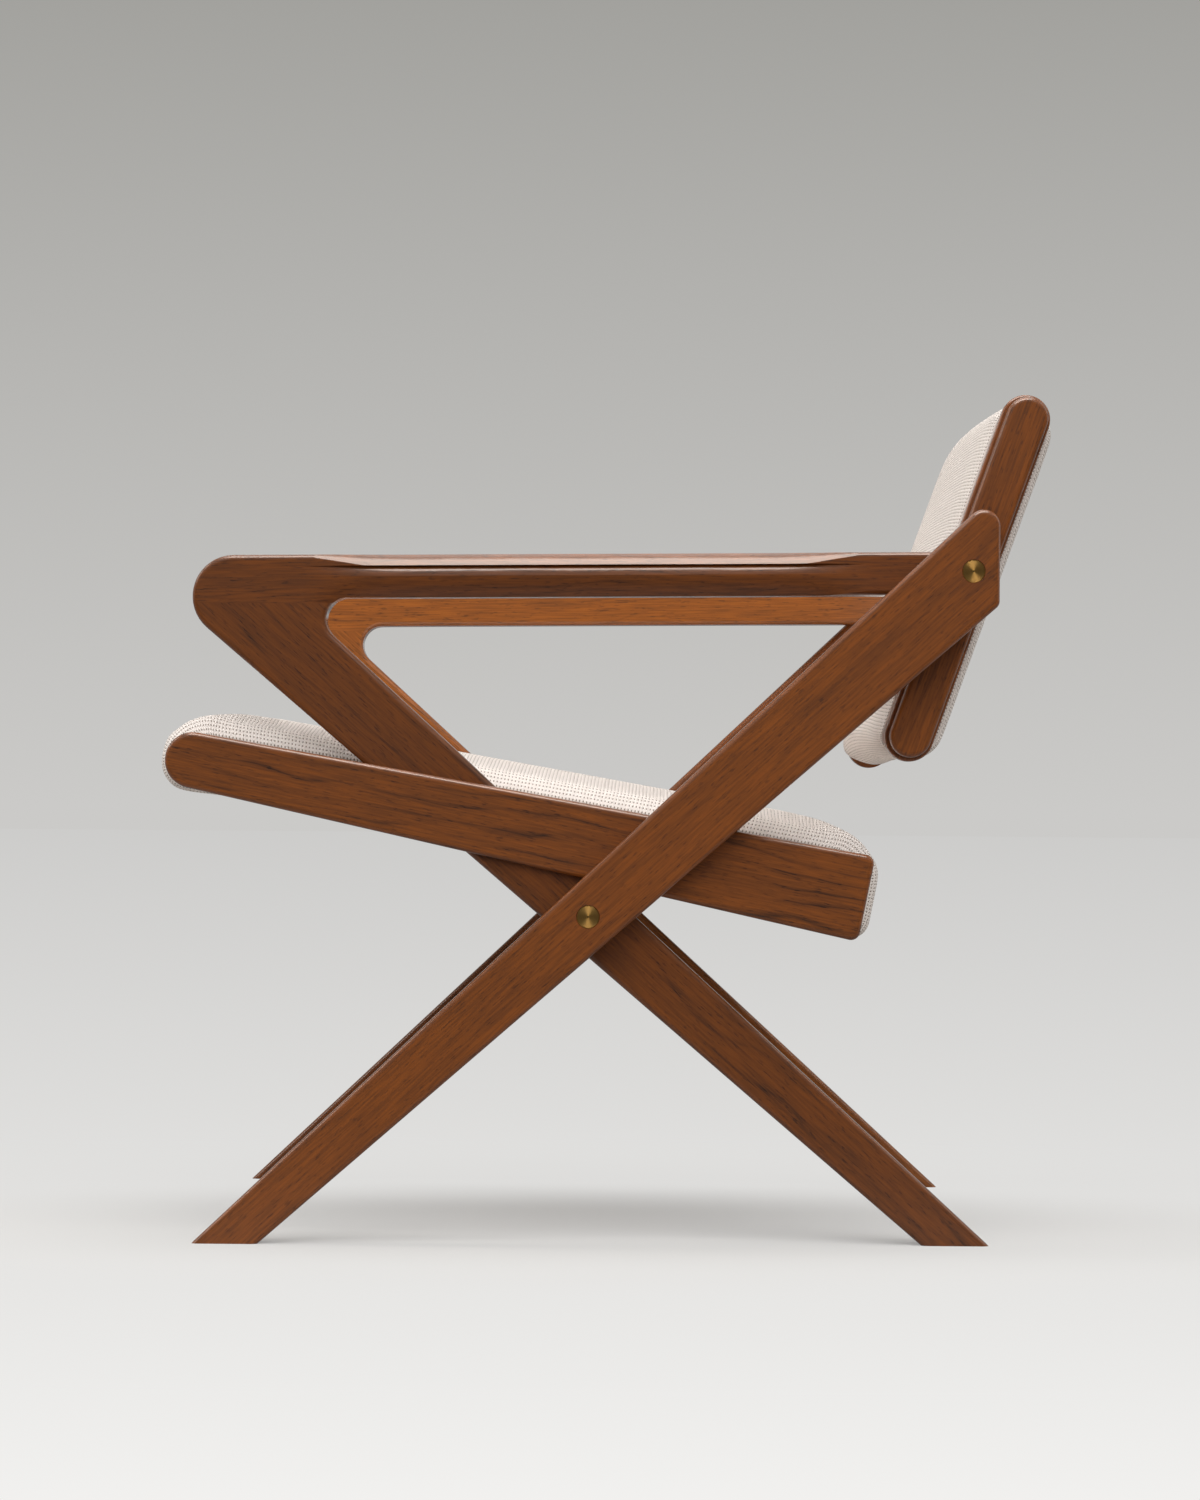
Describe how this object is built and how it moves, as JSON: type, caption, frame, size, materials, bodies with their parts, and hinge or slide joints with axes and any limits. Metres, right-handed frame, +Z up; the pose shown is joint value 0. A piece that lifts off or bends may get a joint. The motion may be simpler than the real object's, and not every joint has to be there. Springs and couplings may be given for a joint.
{
  "type": "easy chair",
  "caption": "Low easy chair with crossed wooden side frames, sculpted armrests, a sloping upholstered seat and a padded backrest that tilts on side pivots.",
  "frame": {"origin": "on the floor, under the middle of the chair's box", "axes": "+Z up, +Y towards the backrest, +X towards the sitter's left"},
  "size_m": [0.64, 0.7844, 0.7406],
  "materials": {
    "teak": "satin oiled",
    "beech": "planed, unfinished",
    "brass": "turned",
    "steel": "zinc plated",
    "fibre": "matt",
    "foam": "open-cell foam",
    "webbing": "woven elastic",
    "cover_fabric": "ribbed weave",
    "underlining": "plain cotton"
  },
  "bodies": {
    "frame": {"left_main_leg": "teak", "left_arm_leg": "teak", "left_armrest": "teak", "left_seat_rail": "teak", "left_crossing_bolt": "brass", "left_pivot_bolt": "brass", "left_seat_side_member": "beech", "right_main_leg": "teak", "right_arm_leg": "teak", "right_armrest": "teak", "right_seat_rail": "teak", "right_crossing_bolt": "brass", "right_pivot_bolt": "brass", "right_seat_side_member": "beech", "cross_stretcher": "teak", "stretcher_inserts": "steel", "pivot_washers": "fibre", "arm_dowels": "beech", "arm_screws": "steel", "arm_plugs": "teak", "rail_screws": "steel", "seat_front_member": "beech", "seat_rear_member": "beech", "seat_frame_dowels": "beech", "seat_screws": "steel", "seat_webbing": "webbing", "seat_foam": "foam", "seat_cover": "cover_fabric", "seat_underlining": "underlining"},
    "backrest": {"left_back_plate": "teak", "right_back_plate": "teak", "left_back_end": "teak", "right_back_end": "teak", "pivot_bushes": "brass", "back_top_rail": "beech", "back_bottom_rail": "beech", "back_rail_dowels": "beech", "back_plate_dowels": "beech", "back_webbing": "webbing", "back_foam": "foam", "back_cover": "cover_fabric"}
  },
  "joints": [
    {"name": "backrest_tilt", "type": "hinge", "parent": "frame", "child": "backrest", "pos_m": [0, 0.31583, 0.5831], "axis": [1, 0, 0], "range_deg": [-8, 8]}
  ]
}
